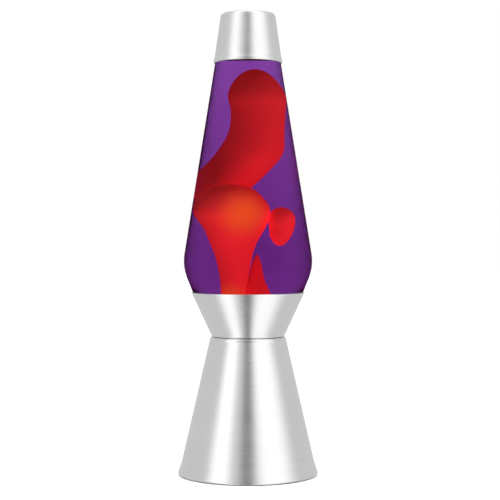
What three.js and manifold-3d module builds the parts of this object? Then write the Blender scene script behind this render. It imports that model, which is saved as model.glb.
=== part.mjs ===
// Lava lamp: a two-cone spun aluminium base with a lampholder and bulb inside it, a sealed glass
// globe of dyed liquid and wax that stands in the upper cone, and a spun cap over the closure.
// Millimetres, +Z up. The origin is on the lamp's axis, on the surface that it stands on.

import * as THREE from 'three';
import { mergeVertices } from 'three/addons/utils/BufferGeometryUtils.js';
import Module from 'manifold-3d';

const wasm = await Module();
wasm.setup();

// ---------------------------------------------------------------- driving dimensions

const GAP = 0.3;                      // between two pieces that touch
const SHEET = 1.0;                    // spun aluminium sheet
const PLATE = 1.2;                    // pressed steel sheet

const foot = { radius: 6, height: 2.4, count: 4, edge: 2.2 };
const lower = { rimRadius: 65.5, rimHeight: 0.8, flare: 3.5, flareHeight: 13,
                step: 1.3, topHeight: 128.85, hem: 1.4, ledgeWidth: 12.5 };
const upper = { rimRadius: 53.2, height: 40.85 };
const flange = { bulbClearance: 3.2, width: 7, rivets: 3, rivetShank: 1.4, rivetHead: 2.6, headHeight: 1.2 };
const plate = { edge: 1.6, vents: 8, ventWidth: 4.5, ventInner: 33, ventOuter: 45, screws: 3 };
const screw = { shank: 1.3, head: 2.9, headHeight: 1.2, nutAcross: 5.5, nutHeight: 2 };
const bracket = { width: 22, deckLength: 38, deckRise: 8.1, footLength: 8, spread: 4,
                  rivetHead: 0.9 };
const holder = { wall: 3.8, height: 37.5, floor: 6.5, shellClearance: 0.8, screwSpacing: 9, screwDepth: 4.5 };
const tongue = { sheet: 0.6, rise: 2.3, width: 6, length: 20 };
const thread = { pitch: 25.4 / 7, meanRadius: 12.65, wave: 0.45, clearance: 0.8, sheet: 0.5 };
const shell = { length: 18.2, rise: 4.4 };
const bulb = { capLength: 19.7, capSheet: 0.6, contactRadius: 4.8, contactHeight: 1.9, insulatorHeight: 3.6,
               neckPlay: 1, neckInCap: 4.5, envelopeRadius: 23.8, glass: 1, travel: 20,
               headroom: 3.25, stemHeight: 23, filamentSpan: 18, wireRadius: 0.45 };
const inlet = { height: 20, bore: 4.2, waist: 5.8, flange: 8.2, thickness: 1.5 };
const globe = { wall: 3, floor: 4, lift: 3.7, seatPlay: 0.05, punt: 2.5, puntRadius: 20, bodyHeight: 228.5,
                widestCorner: 61.55, widestHeight: 24.1, widestFillet: 46.5, mouthCorner: 28.7, mouthRise: 3.7,
                neckRadius: 13.2, neckHeight: 20.2, neckWall: 4.8, finishBead: 0.7,
                beadHeight: 4.4, ullage: 8 };
const closure = { skirt: 1.9, height: 6, sheet: 0.5, flutes: 21, fluteDepth: 0.45, liner: 0.4 };
const cap = { height: 46.4, taper: 0.145, overlap: 13.2, flareHeight: 5.4, flare: 0.96, play: 0.36,
              cornerFillet: 3.5 };
const coil = { ringRadius: 25.5, wireRadius: 2.1 };
const wax = { film: 0.35, contact: 0.4, poolShare: 0.06, poolDome: 7 };

// Shapes of the wax: [share of the liquid's height, x, y, radius], from the bottom up.
const RISING_COLUMN = [[0.015, -11, -5, 0], [0.047, -11, -5, 9.5], [0.12, -11, -5, 8.8],
                       [0.214, -10, -5, 11.2], [0.297, -10.8, -6, 17], [0.36, -10.5, -8, 23.5],
                       [0.422, -14, -8.5, 30.4], [0.471, -16, -10, 26.5], [0.503, -15.5, -10, 18],
                       [0.518, -14.5, -10, 0]];
const REAR_MOUND = [[0.005, 2, 13, 0], [0.047, 2, 13, 17], [0.12, 3, 14, 13.4], [0.158, 4.4, 15, 9.6],
                    [0.193, 5.2, 16, 6.2], [0.235, 5.6, 16, 3.4], [0.259, 5.8, 16, 0]];
const UPPER_BLOB = [[0.478, -17, 19, 0], [0.506, -15, 16.5, 15], [0.572, -8.8, 11, 21],
                    [0.632, 0.5, 8, 21.8], [0.711, 5.5, 5, 18.8], [0.791, 6.8, 3, 18.8],
                    [0.847, 6.3, 2, 20.2], [0.902, 4.8, 2, 16.4], [0.954, 4.5, 2, 0]];
const DROPLET = [[0.293, 23.8, -5, 0], [0.323, 24, -5, 6.6], [0.351, 24.8, -5, 8.8],
                 [0.381, 25, -6, 10.6], [0.407, 24.8, -6, 10], [0.433, 24.6, -6, 0]];

// ---------------------------------------------------------------- radii that follow from them

const capBore = thread.meanRadius - thread.wave - bulb.capSheet;
const neckRadius = capBore - bulb.neckPlay;
const shellBore = thread.meanRadius + thread.clearance;
const cavityRadius = shellBore + thread.wave + thread.sheet + holder.shellClearance;
const holderRadius = cavityRadius + holder.wall;
const openingRadius = bulb.envelopeRadius + flange.bulbClearance;
const waistRadius = openingRadius + flange.width;
const lowerTopRadius = waistRadius + lower.step;
const flareRadius = lower.rimRadius - lower.flare;

// ---------------------------------------------------------------- heights and places that follow

const plateBottom = foot.height + GAP;
const plateTop = plateBottom + PLATE;
const ledgeBottom = plateTop + GAP;
const ledgeTop = ledgeBottom + PLATE;
const bracketFoot = plateTop + GAP;
const deckTop = bracketFoot + PLATE + bracket.deckRise;
const holderBottom = deckTop + GAP;
const holderFloor = holderBottom + holder.floor;
const contactBottom = holderFloor + GAP + tongue.rise + GAP;
const insulatorBottom = contactBottom + bulb.contactHeight + GAP;
const capBottom = insulatorBottom + bulb.insulatorHeight + GAP;
const capTop = capBottom + bulb.capLength;

const seamBottom = lower.topHeight;
const seamTop = seamBottom + GAP;
const rimZ = seamTop + upper.height;
const cupSlope = (upper.rimRadius - waistRadius) / upper.height;
const lowerSlope = (flareRadius - lowerTopRadius) / (lower.topHeight - lower.flareHeight);
const rivetRing = (openingRadius + waistRadius - SHEET) / 2;
const lowerRimWall = lower.rimRadius - lower.hem;
const plateRadius = lowerRimWall - plate.edge;
const plateScrewRing = lowerRimWall - lower.ledgeWidth / 2 - plate.edge;
const footRing = plateRadius - foot.radius - foot.edge;
const bracketReach = bracket.deckLength / 2 + bracket.spread + bracket.footLength / 2;
const inletRadius = lowerTopRadius + lowerSlope * (lower.topHeight - inlet.height)
  - (SHEET / 2) * Math.hypot(1, lowerSlope);

const globeBottom = seamTop + SHEET + GAP + flange.headHeight + globe.lift;
const bulbTop = globeBottom - bulb.headroom - bulb.travel;
const seatOffset = SHEET + GAP + globe.seatPlay;
const cupRadius = (z) => waistRadius + cupSlope * (z - seamTop);
const seatRadius = (z) => cupRadius(z) - seatOffset * Math.hypot(1, cupSlope);
const globeRim = rimZ + GAP;
const widestZ = rimZ + globe.widestHeight;
const mouthZ = rimZ + globe.bodyHeight;
const neckTop = mouthZ + globe.neckHeight;
const neckBore = globe.neckRadius - globe.neckWall;
const liquidFloor = globeBottom + globe.floor;
const liquidTop = mouthZ - globe.ullage;

// ---------------------------------------------------------------- outlines

const ARC_TOLERANCE = 0.2;            // how far a fillet's chords may leave its arc

// Turns corners [radius, height, fillet] into points.
function outline(corners) {
  const points = [];
  corners.forEach(([r, z, fillet = 0], i) => {
    const here = new THREE.Vector2(r, z);
    const before = corners[i - 1];
    const after = corners[i + 1];
    if (!fillet || !before || !after) {
      points.push(here);
      return;
    }
    const back = new THREE.Vector2(before[0] - r, before[1] - z);
    const ahead = new THREE.Vector2(after[0] - r, after[1] - z);
    const room = Math.min(back.length(), ahead.length()) * 0.49;
    back.normalize();
    ahead.normalize();
    const half = Math.acos(THREE.MathUtils.clamp(back.dot(ahead), -1, 1)) / 2;
    const reach = Math.min(fillet / Math.tan(half), room);
    const radius = reach * Math.tan(half);
    const centre = back.clone().add(ahead).normalize().multiplyScalar(radius / Math.sin(half)).add(here);
    const first = here.clone().addScaledVector(back, reach).sub(centre);
    const turn = Math.PI - 2 * half;
    const side = Math.sign(ahead.cross(back)) || 1;
    const step = 2 * Math.acos(Math.max(0, 1 - ARC_TOLERANCE / radius));
    const steps = Math.max(1, Math.ceil(turn / step));
    for (let k = 0; k <= steps; k += 1) {
      points.push(first.clone().rotateAround(new THREE.Vector2(), (side * turn * k) / steps).add(centre));
    }
  });
  return points;
}

// Moves a chain of corners to its left by a distance, with its fillets grown or shrunk to match.
function inset(corners, distance) {
  const lines = corners.slice(1).map(([r, z], i) => {
    const start = new THREE.Vector2(corners[i][0], corners[i][1]);
    const along = new THREE.Vector2(r, z).sub(start).normalize();
    const shift = new THREE.Vector2(-along.y, along.x).multiplyScalar(distance);
    return { start: start.add(shift), along, end: new THREE.Vector2(r, z).add(shift) };
  });
  return corners.map(([, , fillet = 0], i) => {
    const before = lines[i - 1];
    const after = lines[i];
    if (!before) {
      return [after.start.x, after.start.y];
    }
    if (!after) {
      return [before.end.x, before.end.y];
    }
    const turn = before.along.cross(after.along);
    if (Math.abs(turn) < 1e-6) {
      return [before.end.x, before.end.y];
    }
    const t = after.start.clone().sub(before.start).cross(after.along) / turn;
    const corner = before.start.clone().addScaledVector(before.along, t);
    return [corner.x, corner.y, fillet && Math.max(0.2, fillet - Math.sign(turn) * distance)];
  });
}

// A closed outline of a sheet: a chain of corners and the same chain one thickness to its left.
function sheetOutline(corners, thickness) {
  return [...outline(corners), ...outline(inset(corners, thickness)).reverse()];
}

// ---------------------------------------------------------------- solids

function weld(geometry) {
  const bare = geometry.index ? geometry.toNonIndexed() : geometry.clone();
  bare.deleteAttribute('normal');
  bare.deleteAttribute('uv');
  const merged = mergeVertices(bare, 1e-4);
  const faces = [];
  for (let i = 0; i < merged.index.count; i += 3) {
    const [a, b, c] = [0, 1, 2].map((k) => merged.index.getX(i + k));
    if (a !== b && b !== c && c !== a) {
      faces.push(a, b, c);
    }
  }
  merged.setIndex(faces);
  return merged;
}

function solid(geometry) {
  const welded = weld(geometry);
  return new wasm.Manifold(new wasm.Mesh({
    numProp: 3,
    vertProperties: new Float32Array(welded.getAttribute('position').array),
    triVerts: new Uint32Array(welded.index.array),
  }));
}

function geometryOf(manifold) {
  const result = manifold.getMesh();
  const geometry = new THREE.BufferGeometry();
  geometry.setAttribute('position', new THREE.BufferAttribute(new Float32Array(result.vertProperties), 3));
  geometry.setIndex(new THREE.BufferAttribute(new Uint32Array(result.triVerts), 1));
  return geometry;
}

// A solid of revolution about Z. Its outline runs anticlockwise, with the radius to the right.
function revolve(points, segments) {
  const onAxis = points[0].x === 0 && points[points.length - 1].x === 0;
  const loop = onAxis ? points : [...points, points[0].clone()];
  return weld(new THREE.LatheGeometry(loop, segments)).rotateX(Math.PI / 2);
}

const revolveCorners = (corners, segments) => revolve(outline(corners), segments);

// A plain turned rod about Z, from one height to another, for shanks and drilled holes.
function rod(radius, low, high, segments = 12, x = 0, y = 0) {
  const corners = [[0, low], [radius, low], [radius, high], [0, high]];
  return revolveCorners(corners, segments).translate(x, y, 0);
}

function tube(points, radius, steps, sides = 6) {
  const extrudePath = new THREE.CatmullRomCurve3(points);
  return new THREE.ExtrudeGeometry(disc(THREE.Shape, sides, radius), { steps, extrudePath });
}

function flatSheet(shape, low, thickness) {
  return new THREE.ExtrudeGeometry(shape, { depth: thickness, bevelEnabled: false })
    .translate(0, 0, low);
}

const ring = (count, radius, firstDegrees) => Array.from({ length: count }, (_, i) => {
  const angle = THREE.MathUtils.degToRad(firstDegrees + (360 * i) / count);
  return { angle, x: radius * Math.cos(angle), y: radius * Math.sin(angle) };
});

// A round outline or hole, as a polygon about a centre.
function disc(Outline, sides, radius, x = 0, y = 0) {
  return new Outline(ring(sides, radius, 0).map((corner) => new THREE.Vector2(x + corner.x, y + corner.y)));
}

const circleHole = (x, y, radius) => disc(THREE.Path, 10, radius, x, y);

// Presses a right-handed round thread into the stretch of a lathed sleeve between two heights.
function pressThread(geometry, low, high) {
  const position = geometry.getAttribute('position');
  for (let i = 0; i < position.count; i += 1) {
    const [x, y, z] = [position.getX(i), position.getY(i), position.getZ(i)];
    if (z > low && z < high) {
      const fade = Math.min(1, (z - low) / thread.pitch, (high - z) / thread.pitch);
      const phase = (2 * Math.PI * z) / thread.pitch - Math.atan2(y, x);
      const scale = 1 + (thread.wave * fade * Math.cos(phase)) / Math.hypot(x, y);
      position.setXY(i, x * scale, y * scale);
    }
  }
  return geometry;
}

function threadRows(radius, low, high) {
  const rows = Math.round(((high - low) / thread.pitch) * 4);
  return Array.from({ length: rows + 1 }, (_, i) => (
    new THREE.Vector2(radius, low + ((high - low) * i) / rows)));
}

// ---------------------------------------------------------------- the lamp

const lamp = new THREE.Group();

const finish = (color, roughness, metalness) => ({ color, roughness, metalness });
const ALUMINIUM = finish(0xc9cacc, 0.32, 1);
const STEEL = finish(0x9a9ca0, 0.4, 1);
const BRASS = finish(0xc9a44c, 0.35, 1);
const BLACK_STEEL = finish(0x1c1c1e, 0.6, 0.2);
const GLASS = finish(0xe8eef2, 0.05, 0);

function add(name, shape, look, parent = lamp) {
  const geometry = shape.getMesh ? geometryOf(shape) : shape;
  const mesh = new THREE.Mesh(geometry, new THREE.MeshStandardMaterial(look));
  mesh.name = name;
  parent.add(mesh);
  return mesh;
}

// ---- spun cones

function buildCones() {
  const wallAt = (z) => lowerTopRadius + lowerSlope * (lower.topHeight - z)
    - SHEET * Math.hypot(1, lowerSlope);
  const outside = [[openingRadius, seamBottom], [lowerTopRadius, seamBottom, 1.3],
                   [flareRadius, lower.flareHeight, 25], [lower.rimRadius, lower.rimHeight + 1.2, 1],
                   [lower.rimRadius - 0.4, lower.rimHeight], [lowerRimWall, lower.rimHeight]];
  const ledgeInner = lowerRimWall - lower.ledgeWidth;
  const inside = [[lowerRimWall - 0.9, ledgeBottom], [ledgeInner, ledgeBottom],
                  [ledgeInner, ledgeTop], [lowerRimWall - 1.2, ledgeTop],
                  [wallAt(lower.flareHeight), lower.flareHeight],
                  [wallAt(seamBottom - SHEET), seamBottom - SHEET],
                  [openingRadius, seamBottom - SHEET]];
  const points = [...outline(outside), ...outline(inside)].reverse();
  let lowerCone = solid(revolve(points, 48));

  const cupChain = [[openingRadius, seamTop], [waistRadius, seamTop],
                    [upper.rimRadius, rimZ]];
  let upperCone = solid(revolve(sheetOutline(cupChain, SHEET), 48));

  const rivetHole = flange.rivetShank + GAP;
  ring(flange.rivets, rivetRing, 30).forEach(({ x, y }) => {
    const hole = solid(rod(rivetHole, seamBottom - 2 * SHEET, seamTop + 2 * SHEET, 10, x, y));
    lowerCone = lowerCone.subtract(hole);
    upperCone = upperCone.subtract(hole);
  });
  const screwHole = screw.shank + GAP;
  ring(plate.screws, plateScrewRing, 90).forEach(({ x, y }) => {
    lowerCone = lowerCone.subtract(solid(rod(screwHole, 2, ledgeTop + 1, 10, x, y)));
  });
  const inletHole = rod(inlet.waist + GAP, -3 * SHEET, 3 * SHEET, 16);
  inletHole.rotateX(-Math.PI / 2 + Math.atan(lowerSlope)).translate(0, inletRadius, inlet.height);
  lowerCone = lowerCone.subtract(solid(inletHole));

  add('lower_cone', lowerCone, ALUMINIUM);
  add('upper_cone', upperCone, ALUMINIUM);
}

// A rivet or screw turned from a chain of diameters, centred on a point of a ring.
function turned(name, steps, x, y, look, segments = 12) {
  const corners = [[0, steps[0][1]]];
  steps.forEach(([radius, low, high]) => corners.push([radius, low], [radius, high]));
  corners.push([0, steps[steps.length - 1][2]]);
  add(name, revolveCorners(corners, segments).translate(x, y, 0), look);
}

function rivet(name, low, high, x, y) {
  const { rivetHead: head, rivetShank: shank, headHeight: height } = flange;
  turned(name, [[head, low - GAP - height, low - GAP], [shank, low - GAP, high + GAP],
                [head, high + GAP, high + GAP + height]], x, y, ALUMINIUM, 10);
}

// ---- underside: plate, its screws and nuts, feet

function buildUnderside() {
  const sheet = disc(THREE.Shape, 36, plateRadius);
  ring(plate.vents, 1, 22.5).forEach(({ angle }) => {
    const half = plate.ventWidth / 2;
    const at = (radius, side) => new THREE.Vector2(radius, side * half)
      .rotateAround(new THREE.Vector2(), angle);
    const corners = [at(plate.ventInner, 1), at(plate.ventOuter, 1), at(plate.ventOuter + half, 0),
                     at(plate.ventOuter, -1), at(plate.ventInner, -1), at(plate.ventInner - half, 0)];
    sheet.holes.push(new THREE.Path(corners));
  });
  ring(plate.screws, plateScrewRing, 90).forEach(({ x, y }) => {
    sheet.holes.push(circleHole(x, y, screw.shank + GAP));
  });
  [-1, 1].forEach((side) => {
    sheet.holes.push(circleHole(side * bracketReach, 0, flange.rivetShank + GAP));
  });
  add('bottom_plate', flatSheet(sheet, plateBottom, PLATE), BLACK_STEEL);

  ring(plate.screws, plateScrewRing, 90).forEach(({ x, y }, i) => {
    const headTop = plateBottom - GAP;
    const nutBottom = ledgeTop + GAP;
    const tip = nutBottom + screw.nutHeight + 1;
    turned(`plate_screw_${i + 1}`, [[screw.head, headTop - screw.headHeight, headTop],
                                    [screw.shank, headTop, tip]], x, y, STEEL);
    const hexagon = disc(THREE.Shape, 6, screw.nutAcross / Math.sqrt(3), x, y);
    hexagon.holes.push(circleHole(x, y, screw.shank + GAP));
    add(`plate_nut_${i + 1}`, flatSheet(hexagon, nutBottom, screw.nutHeight), STEEL);
  });

  ring(foot.count, footRing, 45).forEach(({ x, y }, i) => {
    const corners = [[0, 0], [foot.radius - 0.8, 0], [foot.radius, 0.8], [foot.radius, plateBottom - GAP],
                     [0, plateBottom - GAP]];
    add(`foot_${i + 1}`, revolveCorners(corners, 16).translate(x, y, 0), finish(0x161616, 0.8, 0));
  });
}

// ---- lampholder and its bracket

function buildLampholder() {
  const half = bracket.deckLength / 2;
  const toe = half + bracket.spread;
  const heel = toe + bracket.footLength;
  const profile = [[-heel, bracketFoot], [-toe, bracketFoot], [-half, deckTop - PLATE],
                   [half, deckTop - PLATE], [toe, bracketFoot], [heel, bracketFoot]];
  const strip = new THREE.Shape(sheetOutline(profile, PLATE));
  const width = bracket.width;
  const strap = new THREE.ExtrudeGeometry(strip, { depth: width, bevelEnabled: false });
  let body = solid(strap.rotateX(Math.PI / 2).translate(0, width / 2, 0));

  const headTop = deckTop - PLATE - GAP;
  const screwTip = holderBottom + holder.screwDepth;
  let porcelain = solid(revolveCorners([[0, holderBottom], [holderRadius - 2, holderBottom, 1.5],
    [holderRadius, holderBottom + 4, 2], [holderRadius, holderBottom + holder.height, 1.5],
    [cavityRadius, holderBottom + holder.height], [cavityRadius, holderFloor], [0, holderFloor]], 24));
  [-1, 1].forEach((side, i) => {
    const x = side * holder.screwSpacing;
    body = body.subtract(solid(rod(screw.shank + GAP, bracketFoot, deckTop + 1, 10, x)));
    porcelain = porcelain.subtract(solid(rod(screw.shank + GAP, holderBottom - 1, screwTip + GAP, 10, x)));
    turned(`lampholder_screw_${i + 1}`, [[screw.head, headTop - screw.headHeight, headTop],
                                         [screw.shank, headTop, screwTip]], x, 0, STEEL, 10);
    const rivetX = side * bracketReach;
    const rivetHole = rod(flange.rivetShank + GAP, bracketFoot - 1, bracketFoot + 2 * PLATE, 10, rivetX);
    body = body.subtract(solid(rivetHole));
    bracketRivet(i, rivetX);

    const screwZ = holderBottom + holder.floor / 2;
    const turnSideways = (shape) => shape.rotateX((-side * Math.PI) / 2)
      .translate(0, side * holderRadius, screwZ);
    const depth = holder.screwDepth;
    porcelain = porcelain.subtract(solid(turnSideways(rod(screw.shank + GAP, -depth - GAP, 3, 10))));
    const corners = [[0, -depth], [screw.shank, -depth], [screw.shank, GAP], [screw.head, GAP],
                     [screw.head, GAP + screw.headHeight], [0, GAP + screw.headHeight]];
    add(`terminal_screw_${i + 1}`, turnSideways(revolveCorners(corners, 10)), BRASS);
  });
  add('socket_bracket', body, STEEL);
  add('lampholder_body', porcelain, finish(0xece7dc, 0.25, 0));

  const shellLow = holderFloor + shell.rise;
  const shellHigh = shellLow + shell.length;
  const sleeve = [...threadRows(shellBore + thread.sheet, shellLow, shellHigh),
                  ...threadRows(shellBore, shellLow, shellHigh).reverse()];
  add('screw_shell', pressThread(revolve(sleeve, 16), shellLow, shellHigh), BRASS);

  const low = holderFloor + GAP;
  const high = low + tongue.rise - tongue.sheet;
  const reach = tongue.length / 2;
  const leaf = [[-reach, low], [-reach / 3, low], [-1.5, high], [2.5, high], [4, high - 0.8]];
  const leafShape = new THREE.Shape(sheetOutline(leaf, tongue.sheet));
  const leafStrap = new THREE.ExtrudeGeometry(leafShape, { depth: tongue.width, bevelEnabled: false });
  add('centre_contact', leafStrap.rotateX(Math.PI / 2).translate(0, tongue.width / 2, 0), BRASS);
}

function bracketRivet(index, x) {
  const { rivetHead: head, rivetShank: shank } = flange;
  const low = plateBottom - GAP;
  const high = bracketFoot + PLATE + GAP;
  turned(`bracket_rivet_${index + 1}`, [[head, low - bracket.rivetHead, low], [shank, low, high],
                                        [head, high, high + bracket.rivetHead]], x, 0, STEEL, 10);
}

// ---- bulb

function buildBulb() {
  const contact = [[0, contactBottom], [bulb.contactRadius - 1.4, contactBottom],
                   [bulb.contactRadius, contactBottom + bulb.contactHeight],
                   [0, contactBottom + bulb.contactHeight]];
  add('bulb_contact', revolveCorners(contact, 16), STEEL);
  const insulatorTop = insulatorBottom + bulb.insulatorHeight;
  const insulator = [[0, insulatorBottom], [bulb.contactRadius + 0.8, insulatorBottom],
                     [thread.meanRadius - 1.4, insulatorTop], [0, insulatorTop]];
  add('bulb_insulator', revolveCorners(insulator, 16), finish(0x1a1416, 0.2, 0));

  const threadTop = capTop - 2.2;
  const capOutline = [...threadRows(thread.meanRadius, capBottom, threadTop),
                      new THREE.Vector2(thread.meanRadius, capTop),
                      new THREE.Vector2(capBore, capTop), new THREE.Vector2(capBore, capBottom)];
  const capShell = revolve(capOutline, 16);
  const position = capShell.getAttribute('position');
  const inner = (capBore + thread.meanRadius) / 2;
  const keep = [];
  for (let i = 0; i < position.count; i += 1) {
    if (Math.hypot(position.getX(i), position.getY(i)) < inner) {
      keep.push([i, position.getX(i), position.getY(i)]);
    }
  }
  pressThread(capShell, capBottom, threadTop);
  keep.forEach(([i, x, y]) => position.setXY(i, x, y));
  add('bulb_cap', capShell, BRASS);

  const centre = bulbTop - bulb.envelopeRadius;
  const neckLow = capTop - bulb.neckInCap;
  const widen = Math.max(capTop + 3, centre - 32.5);
  const belly = [[neckRadius, neckLow], [neckRadius + 0.5, widen, 26],
                 [bulb.envelopeRadius, centre - 7.8, 30], [bulb.envelopeRadius, bulbTop, bulb.envelopeRadius],
                 [0, bulbTop]];
  const wall = [...outline(belly), ...bulbInside(belly)];
  add('bulb_glass', revolve(wall, 20), GLASS);

  const stemTop = neckLow + bulb.stemHeight;
  const stem = [[0, neckLow], [neckRadius - bulb.glass - 1, neckLow], [3, neckLow + 8, 4],
                [3, stemTop - 2, 1.5], [1.4, stemTop], [0, stemTop]];
  add('bulb_stem', revolveCorners(stem, 12), GLASS);

  const span = bulb.filamentSpan / 2;
  const wireTop = stemTop + 17;
  [-1, 1].forEach((side, i) => {
    const lead = [new THREE.Vector3(side, 0, stemTop + GAP), new THREE.Vector3(side * 4, 0, stemTop + 5),
                  new THREE.Vector3(side * (span - 0.5), 0, stemTop + 12),
                  new THREE.Vector3(side * span, 0, wireTop)];
    add(`bulb_lead_${i + 1}`, tube(lead, bulb.wireRadius, 8), STEEL);
  });
  const arc = [-1, -0.5, 0, 0.5, 1].map((t) => (
    new THREE.Vector3(t * span, 0, wireTop + 1.4 + 1.8 * (1 - t * t))));
  add('bulb_filament', tube(arc, 0.6, 10), finish(0x6b6660, 0.5, 1));
}

function bulbInside(belly) {
  const inner = inset(belly, bulb.glass);
  const points = outline(inner).reverse();
  points[0].x = 0;
  return points;
}

// ---- cord inlet in the back of the lower cone

function buildInlet() {
  const half = SHEET / 2;
  const outer = half + GAP;
  const innerFace = half + GAP + 0.6;
  const innerFlange = inlet.flange - 0.8;
  const corners = [[inlet.bore, -innerFace - inlet.thickness], [innerFlange, -innerFace - inlet.thickness],
                   [innerFlange, -innerFace], [inlet.waist, -innerFace], [inlet.waist, outer],
                   [inlet.flange, outer], [inlet.flange - 0.5, outer + inlet.thickness],
                   [inlet.bore, outer + inlet.thickness]];
  const place = new THREE.Group();
  place.rotation.x = -Math.PI / 2 + Math.atan(lowerSlope);
  place.position.set(0, inletRadius, inlet.height);
  add('cord_grommet', revolveCorners(corners, 16), finish(0x141414, 0.7, 0), place);
  lamp.add(place);
}

// ---- globe

// The bottle's body, inset by a distance, from the middle of its floor to the foot of its neck.
function bottleBody(distance, floorInset, endRadius) {
  const corners = [[0, globeBottom + globe.punt], [globe.puntRadius, globeBottom + globe.punt],
                   [globe.puntRadius + 3.5, globeBottom], [seatRadius(globeBottom), globeBottom, 6],
                   [seatRadius(globeRim), globeRim, 40], [globe.widestCorner, widestZ, globe.widestFillet],
                   [globe.mouthCorner, mouthZ, 7], [globe.neckRadius, mouthZ + globe.mouthRise]];
  const moved = inset(corners, distance);
  const count = moved.length;
  moved[0][0] = 0;
  moved.slice(0, 4).forEach((corner) => {
    corner[1] += floorInset - distance;
  });
  const [heel, rim] = [moved[3], moved[4]];
  heel[0] += ((rim[0] - heel[0]) / (rim[1] - heel[1])) * (floorInset - distance) * 0.5;
  const [a, b] = [moved[count - 2], moved[count - 1]];
  const t = (endRadius - a[0]) / (b[0] - a[0]);
  moved[count - 1] = [endRadius, a[1] + t * (b[1] - a[1]), 3];
  return moved;
}

function buildGlobe() {
  const bead = globe.neckRadius;
  const throat = bead - globe.finishBead;
  const beadFoot = neckTop - globe.beadHeight;
  const outside = [...bottleBody(0, 0, throat), [throat, beadFoot], [bead, beadFoot + 1.2],
                   [bead, neckTop - 1], [bead - 1, neckTop], [neckBore, neckTop]];
  const inside = [...bottleBody(globe.wall, globe.floor, neckBore), [neckBore, neckTop - 0.5]];
  const points = [...outline(outside), ...outline(inside).reverse()];
  add('globe_glass', revolve(points, 36), GLASS);

  const finishTop = neckTop + GAP;
  add('closure_liner', rod(bead - 0.3, finishTop, finishTop + closure.liner, 24), finish(0xdddddd, 0.6, 0));

  const roofLow = finishTop + closure.liner + GAP;
  const roofHigh = roofLow + closure.sheet;
  const hem = roofHigh - closure.height;
  const waist = bead + GAP + closure.sheet;
  const top = [[0, roofHigh], [waist - 1, roofHigh, 0.8], [waist, roofHigh - 1.4],
               [bead + closure.skirt - 0.4, hem + 1.6], [bead + closure.skirt + 0.9, hem]];
  const sheet = [...outline(inset(top, -closure.sheet)).map(clampToAxis), ...outline(top).reverse()];
  const crown = revolve(sheet, 2 * closure.flutes);
  const position = crown.getAttribute('position');
  for (let i = 0; i < position.count; i += 1) {
    const [x, y, z] = [position.getX(i), position.getY(i), position.getZ(i)];
    const drop = THREE.MathUtils.clamp((roofHigh - 1.2 - z) / (closure.height - 1.2), 0, 1);
    const ripple = Math.cos(closure.flutes * Math.atan2(y, x)) + 0.5;
    const scale = 1 + (closure.fluteDepth * drop * ripple) / Math.max(1, Math.hypot(x, y));
    position.setXY(i, x * scale, y * scale);
  }
  add('crown_closure', crown, STEEL);
}

function clampToAxis(point, index) {
  return index === 0 ? new THREE.Vector2(0, point.y) : point;
}

// ---- liquid and wax

// A round body whose middle wanders: a lathe of its radii, each level moved to its own centre.
function blob(stations, grow, segments, levels) {
  const span = liquidTop - liquidFloor;
  const height = (share) => liquidFloor + share * span;
  const last = stations.length - 1;
  const radii = new THREE.SplineCurve(stations.map(([share, , , r], i) => {
    const pole = (i === 0 ? -1 : 0) + (i === last ? 1 : 0);
    return new THREE.Vector2(pole ? 0 : r + grow, height(share) + pole * grow);
  }));
  const middle = new THREE.CatmullRomCurve3(stations.map(([share, x, y]) => (
    new THREE.Vector3(x, y, height(share)))));
  const sideways = middle.getPoints(80);
  const points = radii.getPoints(levels).map((p) => new THREE.Vector2(Math.max(0, p.x), p.y));
  points[0].x = 0;
  points[points.length - 1].x = 0;
  const geometry = revolve(points, segments);
  const position = geometry.getAttribute('position');
  for (let i = 0; i < position.count; i += 1) {
    const z = position.getZ(i);
    const near = sideways.reduce((best, p) => (Math.abs(p.z - z) < Math.abs(best.z - z) ? p : best));
    position.setXY(i, position.getX(i) + near.x, position.getY(i) + near.y);
  }
  return solid(geometry);
}

function pool(grow) {
  const top = liquidFloor + wax.poolShare * (liquidTop - liquidFloor);
  const wide = globe.widestCorner;
  const corners = [[0, globeBottom], [wide, globeBottom], [wide, top + grow],
                   [wide * 0.4, top + grow, 30], [0, top + wax.poolDome + grow]];
  return solid(revolveCorners(corners, 36));
}

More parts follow.
